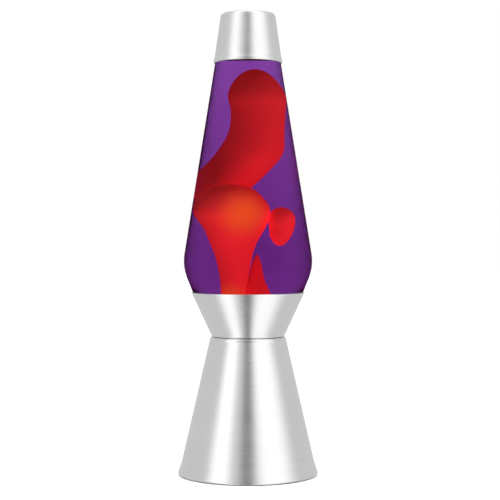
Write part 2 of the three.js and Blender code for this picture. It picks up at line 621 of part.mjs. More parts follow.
function buildContents() {
  const fill = bottleBody(globe.wall + GAP, globe.floor + GAP, neckBore - GAP);
  const [belly, shoulder] = fill.slice(-3, -1);
  const share = (liquidTop - belly[1]) / (shoulder[1] - belly[1]);
  const levelRadius = THREE.MathUtils.lerp(belly[0], shoulder[0], share);
  const level = [...fill.slice(0, -2), [levelRadius, liquidTop], [0, liquidTop]];
  const room = bottleBody(globe.wall + GAP + wax.film, globe.floor + 2 * GAP, neckBore - 2 * GAP);
  const envelope = solid(revolveCorners([...room, [0, room[room.length - 1][1]]], 36));
  const torus = new THREE.TorusGeometry(coil.ringRadius, coil.wireRadius, 6, 24);
  const coilZ = liquidFloor + GAP + coil.wireRadius;
  add('heat_coil', torus.translate(0, 0, coilZ), STEEL);
  const groove = solid(new THREE.TorusGeometry(coil.ringRadius, coil.wireRadius + GAP, 6, 24)
    .translate(0, 0, coilZ));

  const massShape = (grow) => pool(grow)
    .add(blob(RISING_COLUMN, grow, 16, 14))
    .add(blob(REAR_MOUND, grow, 12, 7));
  const mass = massShape(0).intersect(envelope).subtract(groove);
  const touching = massShape(wax.contact);
  const upperWax = blob(UPPER_BLOB, 0, 16, 13).intersect(envelope).subtract(touching);
  const droplet = blob(DROPLET, 0, 12, 7).intersect(envelope).subtract(touching);
  const warm = finish(0xd82a24, 0.4, 0);
  add('wax_mass', mass, warm);
  add('wax_upper_blob', upperWax, warm);
  add('wax_droplet', droplet, warm);

  const liquid = solid(revolveCorners(level, 36))
    .subtract(massShape(GAP))
    .subtract(blob(UPPER_BLOB, GAP, 16, 13))
    .subtract(blob(DROPLET, GAP, 12, 7))
    .subtract(groove);
  add('liquid', liquid, finish(0x6a3a9c, 0.05, 0));
}

// ---- cap

function buildCap() {
  const bodySlope = (globe.widestCorner - globe.mouthCorner) / (mouthZ - widestZ);
  const glassRadius = (z) => globe.mouthCorner + bodySlope * (mouthZ - z);
  const lipZ = mouthZ - cap.overlap;
  const seatZ = lipZ + cap.flareHeight;
  const seat = glassRadius(seatZ) + cap.play + SHEET;
  const top = lipZ + cap.height;
  const shoulder = seat - cap.taper * (top - seatZ);
  const chain = [[seat + cap.flare, lipZ], [seat + cap.flare, lipZ + 2.2, 0.8],
                 [seat, seatZ, 5], [shoulder, top, cap.cornerFillet], [0, top]];
  const points = [...outline(chain), ...outline(inset(chain, SHEET)).reverse().map(clampToAxis)];
  add('cap', revolve(points, 36), ALUMINIUM);
}

buildCones();
ring(flange.rivets, rivetRing, 30).forEach(({ x, y }, i) => {
  rivet(`waist_rivet_${i + 1}`, seamBottom - SHEET, seamTop + SHEET, x, y);
});
buildUnderside();
buildLampholder();
buildBulb();
buildInlet();
buildGlobe();
buildContents();
buildCap();

export default lamp;
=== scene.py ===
"""Looks of the lava lamp: shells, glass, liquid, wax and every small part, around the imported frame."""
import math

import bmesh
import bpy
from mathutils import Euler, Matrix, Vector


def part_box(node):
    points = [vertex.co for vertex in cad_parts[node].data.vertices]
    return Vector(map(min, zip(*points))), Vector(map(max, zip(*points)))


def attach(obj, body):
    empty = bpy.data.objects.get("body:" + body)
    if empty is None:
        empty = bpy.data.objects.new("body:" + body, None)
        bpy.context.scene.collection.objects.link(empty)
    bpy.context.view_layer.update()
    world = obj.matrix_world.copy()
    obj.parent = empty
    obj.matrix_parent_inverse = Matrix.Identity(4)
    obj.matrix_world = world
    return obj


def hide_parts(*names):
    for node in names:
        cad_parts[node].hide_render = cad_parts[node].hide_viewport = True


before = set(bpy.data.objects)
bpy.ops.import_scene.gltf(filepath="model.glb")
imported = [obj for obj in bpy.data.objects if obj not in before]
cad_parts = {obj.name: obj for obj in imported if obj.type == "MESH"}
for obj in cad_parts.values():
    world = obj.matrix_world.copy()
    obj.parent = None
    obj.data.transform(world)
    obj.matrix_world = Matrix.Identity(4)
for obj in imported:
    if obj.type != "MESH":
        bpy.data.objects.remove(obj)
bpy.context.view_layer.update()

MM = 0.001
TURN = 2 * math.pi


# ---------------------------------------------------------------- places taken from the frame, in mm

def reach(node):
    """A round node's outer radius, lowest and highest height, for a node centred on the lamp's axis."""
    low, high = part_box(node)
    return high.x / MM, low.z / MM, high.z / MM


def middle(node):
    """The middle of a node's box."""
    low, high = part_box(node)
    return (low + high) / 2 / MM


def height(node):
    low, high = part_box(node)
    return low.z / MM, high.z / MM


GAP = 0.3                                 # between two pieces that touch
SHEET = 1.0                               # spun aluminium
PLATE = 1.2                               # pressed steel
RIM_RADIUS, RIM_LOW, SEAM_LOW = reach("lower_cone")
CUP_RADIUS, SEAM_HIGH, CUP_RIM = reach("upper_cone")
CAP_RADIUS, CAP_LIP, CAP_TOP = reach("cap")
_, GLOBE_LOW, GLOBE_TOP = reach("globe_glass")
LIQUID_TOP = height("liquid")[1]

LOWER_TOP = 35.3                          # the lower cone's radius at its seam
FLARE_RADIUS, FLARE_HEIGHT = 62.0, 13.0   # where the lower cone's foot flares out
LOWER_SLOPE = (FLARE_RADIUS - LOWER_TOP) / (SEAM_LOW - FLARE_HEIGHT)
FLANGE_OPENING = 27.0                     # the radius open to the bulb at the waist
WAIST_CUP = 34.0                          # the upper cone's radius at its seam
CUP_SLOPE = (CUP_RADIUS - WAIST_CUP) / (CUP_RIM - SEAM_HIGH)
WALL = 3.0                                # the bottle's glass
FLOOR = 4.0
SEAT_PLAY = 0.05                          # between the bottle and the cup
LIQUID_FLOOR = GLOBE_LOW + FLOOR
MOUTH = CUP_RIM + 228.5                   # where the bottle's shoulder meets its neck
BEAD = 13.2                               # the radius of the bead round the bottle's mouth
INNER_NECK = 8.0
FILM = 0.7                                # of liquid between the wax and the glass
THREAD = {"pitch": 25.4 / 7, "mean": 12.65, "wave": 0.45, "clearance": 0.8}


# ---------------------------------------------------------------- outlines, in mm

def outline(corners, tolerance=0.01):
    """Turns corners (radius, height, fillet) into points, each fillet an arc of short chords."""
    points = []
    for i, corner in enumerate(corners):
        here = Vector(corner[:2])
        fillet = corner[2] if len(corner) > 2 else 0
        if not fillet or i in (0, len(corners) - 1):
            points.append(here)
            continue
        back = Vector(corners[i - 1][:2]) - here
        ahead = Vector(corners[i + 1][:2]) - here
        room = 0.49 * min(back.length, ahead.length)
        back.normalize()
        ahead.normalize()
        half = math.acos(max(-1, min(1, back.dot(ahead)))) / 2
        if math.pi / 2 - half < 1e-4:
            points.append(here)
            continue
        run = min(fillet / math.tan(half), room)
        radius = run * math.tan(half)
        centre = here + (back + ahead).normalized() * (radius / math.sin(half))
        first = here + back * run - centre
        turn = math.pi - 2 * half
        cross = ahead.x * back.y - ahead.y * back.x
        side = 1 if cross > 0 else -1
        steps = max(3, math.ceil(turn / (2 * math.acos(max(0, 1 - tolerance / radius)))))
        for k in range(steps + 1):
            angle = side * turn * k / steps
            cos, sin = math.cos(angle), math.sin(angle)
            points.append(centre + Vector((first.x * cos - first.y * sin, first.x * sin + first.y * cos)))
    return points


def inset(corners, distance):
    """Moves a chain of corners to its left by a distance, its fillets grown or shrunk to match."""
    lines = []
    for a, b in zip(corners, corners[1:]):
        along = (Vector(b[:2]) - Vector(a[:2])).normalized()
        shift = Vector((-along.y, along.x)) * distance
        lines.append((Vector(a[:2]) + shift, Vector(b[:2]) + shift, along))
    moved = [tuple(lines[0][0])]
    for i in range(1, len(corners) - 1):
        fillet = corners[i][2] if len(corners[i]) > 2 else 0
        before, after = lines[i - 1], lines[i]
        turn = before[2].x * after[2].y - before[2].y * after[2].x
        if abs(turn) < 1e-6:
            moved.append(tuple(before[1]))
            continue
        gap = after[0] - before[0]
        t = (gap.x * after[2].y - gap.y * after[2].x) / turn
        corner = before[0] + before[2] * t
        grown = fillet - math.copysign(distance, turn)
        moved.append((corner.x, corner.y, max(0.1, grown) if fillet else 0))
    moved.append(tuple(lines[-1][1]))
    return moved


# ---------------------------------------------------------------- meshes

def make_object(name, bm, sharp=38):
    """A mesh object from a bmesh that is in mm, welded, facing out, smooth but for its sharp edges."""
    bmesh.ops.remove_doubles(bm, verts=bm.verts, dist=1e-4)
    bmesh.ops.dissolve_degenerate(bm, edges=bm.edges, dist=1e-5)
    bmesh.ops.recalc_face_normals(bm, faces=bm.faces)
    bmesh.ops.scale(bm, vec=(MM, MM, MM), verts=bm.verts)
    mesh = bpy.data.meshes.new(name)
    bm.to_mesh(mesh)
    bm.free()
    for polygon in mesh.polygons:
        polygon.use_smooth = True
    if sharp:
        mesh.set_sharp_from_angle(angle=math.radians(sharp))
    piece = bpy.data.objects.new(name, mesh)
    bpy.context.scene.collection.objects.link(piece)
    return piece


def lathe_bmesh(points, segments=128, wave=None):
    """A turned solid about Z. wave(angle, radius, height) gives a point's own radius, as for a thread."""
    bm = bmesh.new()
    closed = points[0].x > 1e-6 or points[-1].x > 1e-6
    rows = []
    for p in points:
        if p.x < 1e-6:
            rows.append([bm.verts.new((0, 0, p.y))] * segments)
            continue
        row = []
        for k in range(segments):
            angle = TURN * k / segments
            radius = wave(angle, p.x, p.y) if wave else p.x
            row.append(bm.verts.new((radius * math.cos(angle), radius * math.sin(angle), p.y)))
        rows.append(row)
    pairs = list(zip(rows, rows[1:]))
    if closed:
        pairs.append((rows[-1], rows[0]))
    for low, high in pairs:
        for k in range(segments):
            n = (k + 1) % segments
            corners = []
            for vertex in (low[k], low[n], high[n], high[k]):
                if vertex not in corners:
                    corners.append(vertex)
            if len(corners) > 2:
                bm.faces.new(corners)
    return bm


def lathe(name, points, segments=128, wave=None, sharp=38):
    return make_object(name, lathe_bmesh(points, segments, wave), sharp)


def moved(piece, x=0, y=0, z=0, turn=None):
    matrix = Matrix.Translation(Vector((x, y, z)) * MM)
    if turn:
        matrix = matrix @ turn.to_matrix().to_4x4()
    piece.data.transform(matrix)
    return piece


def settle(piece, material, slot, body, *nodes):
    """Gives a finished piece its material and its body, and hides the CAD nodes that it stands for. Its slot
    is not used.
    """
    piece.data.materials.clear()
    piece.data.materials.append(material)
    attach(piece, body)
    if nodes:
        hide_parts(*nodes)
    return piece


def wire(name, points, radius, sides=8, cyclic=False):
    """A round wire of real thickness along points in mm, as a mesh."""
    curve = bpy.data.curves.new(name, "CURVE")
    curve.dimensions = "3D"
    curve.bevel_depth = radius * MM
    curve.bevel_resolution = max(0, sides // 4)
    curve.use_fill_caps = True
    spline = curve.splines.new("POLY")
    spline.points.add(len(points) - 1)
    for target, point in zip(spline.points, points):
        target.co = (*(Vector(point) * MM), 1)
    spline.use_cyclic_u = cyclic
    return meshed(name, curve)


def meshed(name, curve):
    holder = bpy.data.objects.new(name + "_curve", curve)
    bpy.context.scene.collection.objects.link(holder)
    bpy.context.view_layer.update()
    mesh = bpy.data.meshes.new_from_object(holder.evaluated_get(bpy.context.evaluated_depsgraph_get()))
    bpy.data.objects.remove(holder)
    mesh.name = name
    for polygon in mesh.polygons:
        polygon.use_smooth = True
    mesh.set_sharp_from_angle(angle=math.radians(38))
    piece = bpy.data.objects.new(name, mesh)
    bpy.context.scene.collection.objects.link(piece)
    return piece


def flat_sheet(name, loops, low, high, bevel=0.15):
    """A flat sheet cut to an outer loop, with the other loops as holes, and its edges eased."""
    curve = bpy.data.curves.new(name, "CURVE")
    curve.dimensions = "2D"
    curve.fill_mode = "BOTH"
    curve.extrude = ((high - low) / 2 - bevel) * MM
    curve.bevel_depth = bevel * MM
    curve.bevel_resolution = 2
    curve.offset = -bevel * MM
    for loop in loops:
        spline = curve.splines.new("POLY")
        spline.points.add(len(loop) - 1)
        for target, (x, y) in zip(spline.points, loop):
            target.co = (x * MM, y * MM, 0, 1)
        spline.use_cyclic_u = True
    return moved(meshed(name, curve), z=(low + high) / 2)


def strap(name, corners, thickness, width, bevel):
    """A strip of sheet bent along a chain of corners (x, z), its thickness above them."""
    loop = outline(corners) + outline(inset(corners, thickness))[::-1]
    return moved(flat_sheet(name, [loop], -width / 2, width / 2, bevel), turn=Euler((math.pi / 2, 0, 0)))


def circle(radius, x=0, y=0, sides=48):
    return [(x + radius * math.cos(TURN * k / sides), y + radius * math.sin(TURN * k / sides))
            for k in range(sides)]


def cut(piece, *tools):
    """Cuts tools out of a piece, and leaves the tools out of the scene."""
    for tool in tools:
        modifier = piece.modifiers.new("cut", "BOOLEAN")
        modifier.operation = "DIFFERENCE"
        modifier.solver = "EXACT"
        modifier.object = tool
    bpy.context.view_layer.update()
    mesh = bpy.data.meshes.new_from_object(piece.evaluated_get(bpy.context.evaluated_depsgraph_get()))
    piece.modifiers.clear()
    piece.data = mesh
    for tool in tools:
        bpy.data.objects.remove(tool)
    for polygon in mesh.polygons:
        polygon.use_smooth = True
    mesh.set_sharp_from_angle(angle=math.radians(38))
    return piece


# ---------------------------------------------------------------- materials

def add_node(tree, kind, inputs=None, **settings):
    node = tree.nodes.new("ShaderNode" + kind)
    for key, value in settings.items():
        setattr(node, key, value)
    for key, value in (inputs or {}).items():
        if isinstance(value, bpy.types.NodeSocket):
            tree.links.new(value, node.inputs[key])
        else:
            node.inputs[key].default_value = value
    return node


def new_material(name):
    material = bpy.data.materials.new(name)
    material.use_nodes = True
    tree = material.node_tree
    tree.nodes.clear()
    shader = add_node(tree, "BsdfPrincipled")
    out = add_node(tree, "OutputMaterial", {"Surface": shader.outputs[0]})
    return material, tree, shader, out


def math_node(tree, operation, *values):
    return add_node(tree, "Math", dict(enumerate(values)), operation=operation).outputs[0]


def spread(tree, value, low, high):
    """Maps a 0 to 1 value to low to high."""
    return add_node(tree, "MapRange", {"Value": value, "To Min": low, "To Max": high}).outputs[0]


def tint(tree, factor, first, second):
    node = add_node(tree, "Mix", {"Factor": factor}, data_type="RGBA")
    node.inputs[6].default_value = (*first, 1)
    node.inputs[7].default_value = (*second, 1)
    return node.outputs[2]


def lathe_coordinate(tree):
    """Where a point lies along a turned surface's profile: its height plus most of its radius."""
    place = add_node(tree, "TexCoord").outputs["Object"]
    split = add_node(tree, "SeparateXYZ", {0: place})
    x, y, z = split.outputs
    radius = math_node(tree, "SQRT", math_node(tree, "ADD", math_node(tree, "MULTIPLY", x, x),
                                               math_node(tree, "MULTIPLY", y, y)))
    along = math_node(tree, "ADD", z, math_node(tree, "MULTIPLY", radius, 0.8))
    return x, y, along


def spun_metal(name, dark, light, roughness, grain=1.0, anisotropy=0.55):
    """Metal turned on a lathe: fine rings from the tool, drifting slowly round, and faint handling marks."""
    material, tree, shader, _ = new_material(name)
    x, y, along = lathe_coordinate(tree)
    layers = []
    for fine, slow, detail in ((2600, 14, 2), (420, 5, 3)):
        place = add_node(tree, "CombineXYZ", {"X": math_node(tree, "MULTIPLY", x, slow),
                                              "Y": math_node(tree, "MULTIPLY", y, slow),
                                              "Z": math_node(tree, "MULTIPLY", along, fine)})
        layers.append(add_node(tree, "TexNoise", {"Vector": place.outputs[0], "Scale": 1.0, "Detail": detail,
                                                  "Roughness": 0.6}).outputs[0])
    rings = math_node(tree, "ADD", math_node(tree, "MULTIPLY", layers[0], 0.6),
                      math_node(tree, "MULTIPLY", layers[1], 0.4))
    marks = add_node(tree, "TexNoise", {"Vector": add_node(tree, "TexCoord").outputs["Object"], "Scale": 38,
                                        "Detail": 4, "Roughness": 0.55}).outputs[0]
    tree.links.new(tint(tree, rings, dark, light), shader.inputs["Base Color"])
    worn = math_node(tree, "ADD", spread(tree, rings, -0.06 * grain, 0.06 * grain),
                     spread(tree, marks, roughness - 0.05, roughness + 0.05))
    tree.links.new(worn, shader.inputs["Roughness"])
    bump = add_node(tree, "Bump", {"Height": rings, "Strength": 0.05 * grain, "Distance": 0.00003})
    tree.links.new(bump.outputs[0], shader.inputs["Normal"])
    shader.inputs["Metallic"].default_value = 1
    shader.inputs["Anisotropic"].default_value = anisotropy
    shader.inputs["Anisotropic Rotation"].default_value = 0.25
    tangent = add_node(tree, "Tangent", direction_type="RADIAL", axis="Z")
    tree.links.new(tangent.outputs[0], shader.inputs["Tangent"])
    return material


def plain_material(name, dark, light, roughness, metallic=0.0, scale=300.0, bump=0.05, coat=0.0):
    """A moulded, painted or plated surface: slight colour drift, uneven gloss and fine texture."""
    material, tree, shader, _ = new_material(name)
    place = add_node(tree, "TexCoord").outputs["Object"]
    fine = add_node(tree, "TexNoise", {"Vector": place, "Scale": scale, "Detail": 5,
                                       "Roughness": 0.6}).outputs[0]
    slow = add_node(tree, "TexNoise", {"Vector": place, "Scale": scale / 12, "Detail": 3}).outputs[0]
    tree.links.new(tint(tree, slow, dark, light), shader.inputs["Base Color"])
    blend = math_node(tree, "ADD", math_node(tree, "MULTIPLY", fine, 0.5),
                      math_node(tree, "MULTIPLY", slow, 0.5))
    tree.links.new(spread(tree, blend, max(0.03, roughness - 0.1), min(1, roughness + 0.1)),
                   shader.inputs["Roughness"])
    relief = add_node(tree, "Bump", {"Height": fine, "Strength": bump, "Distance": 0.0001})
    tree.links.new(relief.outputs[0], shader.inputs["Normal"])
    shader.inputs["Metallic"].default_value = metallic
    shader.inputs["Coat Weight"].default_value = coat
    return material


def clear_glass(name, colour, ior, ripple):
    """Blown glass: clear, with slow ripples left by the mould."""
    material, tree, shader, _ = new_material(name)
    place = add_node(tree, "TexCoord").outputs["Object"]
    waves = add_node(tree, "TexNoise", {"Vector": place, "Scale": 30, "Detail": 1}).outputs[0]
    bump = add_node(tree, "Bump", {"Height": waves, "Strength": ripple, "Distance": 0.0006})
    tree.links.new(bump.outputs[0], shader.inputs["Normal"])
    shader.inputs["Base Color"].default_value = (*colour, 1)
    shader.inputs["Roughness"].default_value = 0.0
    shader.inputs["IOR"].default_value = ior
    shader.inputs["Specular Tint"].default_value = (0.08, 0.08, 0.08, 1)
    shader.inputs["Transmission Weight"].default_value = 1
    return material


def dyed_liquid():
    """Violet dyed water: tinted where light enters and leaves it, and deeper where it is thick."""
    material, tree, shader, out = new_material("violet liquid")
    shader.inputs["Base Color"].default_value = (0.2, 0.08, 0.33, 1)
    shader.inputs["Roughness"].default_value = 0.0
    shader.inputs["IOR"].default_value = 1.34
    shader.inputs["Specular Tint"].default_value = (0.05, 0.05, 0.05, 1)
    shader.inputs["Transmission Weight"].default_value = 1
    absorb = add_node(tree, "VolumeAbsorption", {"Color": (0.545, 0.09, 0.52, 1), "Density": 22})
    tree.links.new(absorb.outputs[0], out.inputs["Volume"])
    return material


def glow_sphere(tree, place, centre, radius):
    """1 at a centre in mm, falling smoothly to 0 at a radius."""
    away = add_node(tree, "VectorMath", {0: place, 1: Vector(centre) * MM},
                    operation="DISTANCE").outputs["Value"]
    return add_node(tree, "MapRange", {"Value": away, "From Min": 0, "From Max": radius * MM, "To Min": 1,
                                       "To Max": 0}, interpolation_type="SMOOTHSTEP").outputs[0]


def wax_with_painted_light():
    """Melted red wax, its colour and emission painted with light from the bulb below: brighter low down and
    on faces turned down and to the right, orange in painted glow spots where it is thick, darker in a painted
    shade on its left, deep red elsewhere.
    """
    material, tree, shader, _ = new_material("red wax")
    texture = add_node(tree, "TexCoord")
    place, facing = texture.outputs["Object"], texture.outputs["Normal"]
    # painted light: faces turned down and to the right, towards the bulb, get a brighter colour
    lit = add_node(tree, "VectorMath", {0: facing, 1: Vector((0.45, 0.05, -0.8))}, operation="DOT_PRODUCT")
    side = add_node(tree, "MapRange", {"Value": lit.outputs["Value"], "From Min": -0.95, "From Max": 0.8},
                    interpolation_type="SMOOTHSTEP").outputs[0]
    height_ = add_node(tree, "SeparateXYZ", {0: place}).outputs[2]
    # painted light: the colour grows brighter towards the bottom, near the bulb
    low = add_node(tree, "MapRange", {"Value": height_, "From Min": 0.38, "From Max": 0.17}).outputs[0]
    # painted glow: two spheres where the colour turns orange
    heart = glow_sphere(tree, place, *HEART)
    root = glow_sphere(tree, place, *ROOT)
    painted_glow = math_node(tree, "MAXIMUM", heart, root)
    drift = add_node(tree, "TexNoise", {"Vector": place, "Scale": 16, "Detail": 2}).outputs[0]
    # the painted light level, from the facing and the height, with a little random drift
    painted_light_level = math_node(tree, "ADD", math_node(tree, "MULTIPLY", side, 0.62),
                       math_node(tree, "MULTIPLY", low, 0.62))
    painted_light_level = math_node(tree, "ADD", painted_light_level, spread(tree, drift, -0.08, 0.06))
    # painted shade: a darker colour in a sphere on the wax's left
    shade = math_node(tree, "MULTIPLY", glow_sphere(tree, place, *SHADE), 0.5)
    painted_light_level = math_node(tree, "SUBTRACT", painted_light_level, shade)
    # the painted light level picks the colour, from deep red in painted shade to bright red in painted light
    ramp = add_node(tree, "ValToRGB", {"Fac": painted_light_level})
    ramp.color_ramp.elements[0].position = 0.12
    ramp.color_ramp.elements[0].color = (0.30, 0.016, 0.007, 1)
    ramp.color_ramp.elements[1].position = 1
    ramp.color_ramp.elements[1].color = (1.0, 0.042, 0.023, 1)
    middle_stop = ramp.color_ramp.elements.new(0.6)
    middle_stop.color = (0.62, 0.028, 0.014, 1)
    # painted glow: orange mixed into the colour at the glow spots
    glow = add_node(tree, "Mix", {"Factor": math_node(tree, "MULTIPLY", painted_glow, 0.95)}, data_type="RGBA")
    tree.links.new(ramp.outputs[0], glow.inputs[6])
    glow.inputs[7].default_value = (1.0, 0.17, 0.012, 1)
    tree.links.new(glow.outputs[2], shader.inputs["Base Color"])
    # a painted glow: the wax emits its own painted colour all over, though it is no lamp
    tree.links.new(glow.outputs[2], shader.inputs["Emission Color"])
    tree.links.new(spread(tree, painted_glow, 2.15, 1.95), shader.inputs["Emission Strength"])
    ripple = add_node(tree, "TexNoise", {"Vector": place, "Scale": 60, "Detail": 2}).outputs[0]
    bump = add_node(tree, "Bump", {"Height": ripple, "Strength": 0.08, "Distance": 0.0005})
    tree.links.new(bump.outputs[0], shader.inputs["Normal"])
    tree.links.new(spread(tree, drift, 0.3, 0.45), shader.inputs["Roughness"])
    shader.inputs["Subsurface Weight"].default_value = 0.2
    shader.inputs["Subsurface Radius"].default_value = (1.0, 0.2, 0.1)
    shader.inputs["Subsurface Scale"].default_value = 0.006
    return material


# the wax's painted glow in the big blob, its painted glow at the column's foot and its painted shade on the
# left: a centre and a radius in mm
HEART = ((-1.5, -36, 241), 31)
ROOT = ((-13, -15, 168), 21)
SHADE = ((-38, 0, 262), 56)

ALUMINIUM = spun_metal("spun aluminium", (0.78, 0.78, 0.785), (0.9, 0.9, 0.905), 0.26)
CAP_ALUMINIUM = spun_metal("satin aluminium", (0.78, 0.78, 0.785), (0.9, 0.9, 0.905), 0.36)
STEEL = spun_metal("zinc plated steel", (0.42, 0.42, 0.43), (0.6, 0.6, 0.6), 0.36, 0.7, 0.2)
TINPLATE = plain_material("tinplate", (0.5, 0.5, 0.48), (0.66, 0.65, 0.62), 0.3, 1, 220, 0.05)
BRASS = spun_metal("drawn brass", (0.55, 0.38, 0.14), (0.76, 0.57, 0.26), 0.32, 0.8, 0.2)
SOLDER = plain_material("solder", (0.4, 0.4, 0.39), (0.62, 0.61, 0.58), 0.4, 1, 700, 0.2)
TUNGSTEN = plain_material("tungsten", (0.2, 0.19, 0.18), (0.33, 0.32, 0.3), 0.45, 1, 900, 0.1)
PORCELAIN = plain_material("porcelain", (0.76, 0.74, 0.68), (0.84, 0.82, 0.77), 0.2, 0, 130, 0.04, 0.6)
INSULATOR = plain_material("black lamp glass", (0.012, 0.01, 0.014), (0.03, 0.025, 0.03), 0.15, 0, 200, 0.03,
                           0.3)
RUBBER = plain_material("black rubber", (0.014, 0.014, 0.014), (0.032, 0.031, 0.03), 0.75, 0, 900, 0.25)
BLACK_PAINT = plain_material("black painted steel", (0.016, 0.016, 0.017), (0.034, 0.034, 0.036), 0.45, 0,
                             1100, 0.2)
LINER = plain_material("sealing liner", (0.76, 0.75, 0.72), (0.85, 0.84, 0.81), 0.55, 0, 500, 0.1)
GLASS = clear_glass("bottle glass", (0.98, 0.99, 0.985), 1.47, 0.06)
LAMP_GLASS = clear_glass("lamp glass", (0.97, 0.97, 0.96), 1.45, 0.03)
LIQUID = dyed_liquid()
WAX = wax_with_painted_light()


# ---------------------------------------------------------------- spun shells

def build_lower_cone():
    top, step, hem = LOWER_TOP, 1.3, 1.2
    wall = RIM_RADIUS - step
    outside = [(FLANGE_OPENING, SEAM_LOW), (top, SEAM_LOW, 1.5), (top + 0.85, SEAM_LOW - 3.4),
               (top + 0.75, SEAM_LOW - 3.7), (top + 1.0, SEAM_LOW - 4.1), (FLARE_RADIUS, FLARE_HEIGHT, 25),
               (RIM_RADIUS, RIM_LOW + step, 1.1), (RIM_RADIUS - 0.55, RIM_LOW, 0.5), (wall, RIM_LOW, 0.3)]
    ledge_low, ledge_high = 4.2, 5.4
    ledge = wall - 12.5
    inside = [(wall, RIM_LOW), (wall - 0.9, ledge_low, 0.4), (ledge, ledge_low, 0.3),
              (ledge, ledge_high, 0.3), (wall - hem, ledge_high, hem),
              (FLARE_RADIUS - SHEET, FLARE_HEIGHT, 20), (top - SHEET, SEAM_LOW - SHEET, 1),
              (FLANGE_OPENING, SEAM_LOW - SHEET)]
    shell = lathe("lower_cone_shell", outline(outside) + outline(inside)[1:], 192)
    hole, reach_past = 6.1, 6
    tool = lathe("hole", [Vector((0, -reach_past)), Vector((hole, -reach_past)), Vector((hole, reach_past)),
                          Vector((0, reach_past))], 64)
    moved(tool, 0, inlet_radius(), middle("cord_grommet").z, Euler((inlet_tilt(), 0, 0)))
    cut(shell, tool)
    settle(shell, ALUMINIUM, "aluminium", "lamp_base", "lower_cone")


def inlet_tilt():
    return -math.pi / 2 + math.atan(LOWER_SLOPE)


def inlet_radius():
    return LOWER_TOP + LOWER_SLOPE * (SEAM_LOW - middle("cord_grommet").z) - SHEET / 2


def build_upper_cone():
    chain = [(FLANGE_OPENING, SEAM_HIGH), (WAIST_CUP, SEAM_HIGH, 0.8),
             (CUP_RADIUS - 0.22, CUP_RIM - 0.5, 0.3), (CUP_RADIUS - 0.5, CUP_RIM, 0.35),
             (CUP_RADIUS - 1.0, CUP_RIM - 0.2, 0.2)]
    inside = inset([(FLANGE_OPENING, SEAM_HIGH), (WAIST_CUP, SEAM_HIGH, 1.5), (CUP_RADIUS, CUP_RIM)], SHEET)
    inside[-1] = (inside[-1][0] - 0.3, CUP_RIM - 0.9)
    shell = lathe("upper_cone_shell", outline(chain) + outline(inside)[::-1], 192)
    settle(shell, ALUMINIUM, "aluminium", "lamp_base", "upper_cone")


def build_cap():
    flare, taper = 0.96, 0.145
    seat = CAP_RADIUS - flare
    seat_z = CAP_LIP + 5.4
    shoulder = seat - taper * (CAP_TOP - seat_z)
    body = [(CAP_RADIUS, CAP_LIP + 2.4, 1.5), (seat, seat_z, 6), (shoulder, CAP_TOP, 3.2), (0, CAP_TOP)]
    chain = [(CAP_RADIUS - 0.5, CAP_LIP), (CAP_RADIUS, CAP_LIP + 0.5, 0.4)] + body
    inside = inset([(CAP_RADIUS, CAP_LIP)] + body, SHEET)
    inside[-1] = (0, inside[-1][1])
    shell = lathe("cap_shell", (outline(chain) + outline(inside)[::-1])[::-1], 160)
    settle(shell, CAP_ALUMINIUM, "aluminium", "cap", "cap")


# ---------------------------------------------------------------- globe

def seat_radius(z):
    """The bottle's radius at a height where it stands in the cup."""
    offset = (SHEET + GAP + SEAT_PLAY) * math.hypot(1, CUP_SLOPE)
    return WAIST_CUP + CUP_SLOPE * (z - SEAM_HIGH) - offset


def bottle_body(distance, rise, neck):
    """The bottle's body inset by a distance, its floor raised, from the floor's middle to the neck's foot."""
    punt = GLOBE_LOW + 2.5
    rise_from = CUP_RIM + GAP
    corners = [(0, punt), (20, punt, 6), (24, GLOBE_LOW, 2), (seat_radius(GLOBE_LOW), GLOBE_LOW, 6),
               (seat_radius(rise_from), rise_from, 30), (61.55, CUP_RIM + 24.1, 46.5), (28.7, MOUTH, 8),
               (BEAD, MOUTH + 3.7)]
    body = [list(c) for c in inset(corners, distance)] if distance else [list(c) for c in corners]
    body[0][0] = 0
    for corner in body[:4]:
        corner[1] += rise - distance
    slope = (body[4][0] - body[3][0]) / (body[4][1] - body[3][1])
    body[3][0] += slope * (rise - distance) * 0.5
    (ar, az), (br, bz) = body[-2][:2], body[-1][:2]
    body[-1] = [neck, az + (neck - ar) / (br - ar) * (bz - az), 3]
    return [tuple(c) for c in body]


def build_globe():
    throat, bore = 12.5, 8.4
    bead_foot = GLOBE_TOP - 4.4
    lip = (bore, GLOBE_TOP - 3)
    finish = [(throat, bead_foot, 0.8), (BEAD, bead_foot + 1.2, 0.8), (BEAD, GLOBE_TOP, 1.3),
              (bore, GLOBE_TOP, 0.8), lip]
    outside = bottle_body(0, 0, throat) + finish
    inside = bottle_body(WALL, FLOOR, bore) + [lip]
    points = outline(outside) + outline(inside)[::-1][1:]
    bottle = lathe("globe_bottle", points, 192, sharp=60)
    settle(bottle, GLASS, "globe_glass", "globe", "globe_glass")

    overlap = 0.05                            # no film of air shows between the liquid and the glass
    fill = bottle_body(WALL - overlap, FLOOR - overlap, bore)
    belly, shoulder = fill[-3], fill[-2]
    share = (LIQUID_TOP - belly[1]) / (shoulder[1] - belly[1])
    edge = belly[0] + share * (shoulder[0] - belly[0])
    level = fill[:-2] + [(edge, LIQUID_TOP + 0.8, 0.5), (edge - 1.2, LIQUID_TOP, 1), (0, LIQUID_TOP)]
    liquid = lathe("liquid_fill", outline(level), 192, sharp=60)
    settle(liquid, LIQUID, "liquid", "globe", "liquid")


